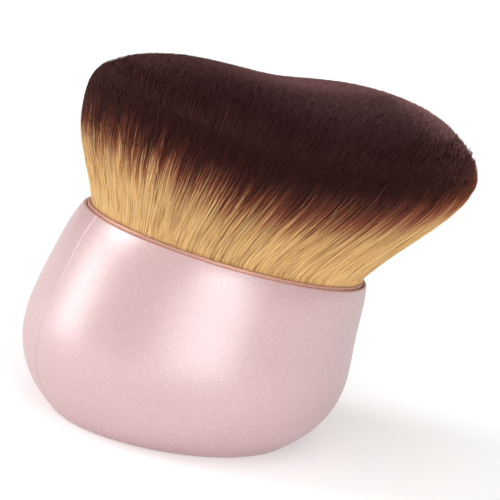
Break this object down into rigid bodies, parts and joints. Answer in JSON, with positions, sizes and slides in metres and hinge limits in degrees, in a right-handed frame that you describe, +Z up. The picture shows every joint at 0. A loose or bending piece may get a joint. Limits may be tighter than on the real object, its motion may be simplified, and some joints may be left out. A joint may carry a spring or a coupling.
{
  "type": "kabuki makeup brush",
  "caption": "Kabuki makeup brush with a short rounded hollow handle, a slanted mouth and a wide flared head of dense two-tone fibres with a wavy top.",
  "frame": {"origin": "centre of the flat face under the base", "axes": "+Z up out of the base, +X towards the low side of the slanted mouth, to which the head leans"},
  "size_m": [0.0859, 0.066, 0.0723],
  "materials": {
    "handle_paint": "satin",
    "base_cap": "satin",
    "ballast_pad": "matte",
    "ballast_weight": "satin",
    "ferrule_cup": "satin",
    "resin_plug": "gloss",
    "binding_band": "satin",
    "knot_core": "matte",
    "bristles": "satin"
  },
  "bodies": {
    "root": {"handle_front_half": "handle_paint", "handle_back_half": "handle_paint", "base_cap": "base_cap", "ballast_pad": "ballast_pad", "ballast_weight": "ballast_weight", "ferrule_cup": "ferrule_cup", "resin_plug": "resin_plug", "binding_band": "binding_band", "knot_core": "knot_core", "bristle_bundle": "bristles"}
  },
  "joints": []
}
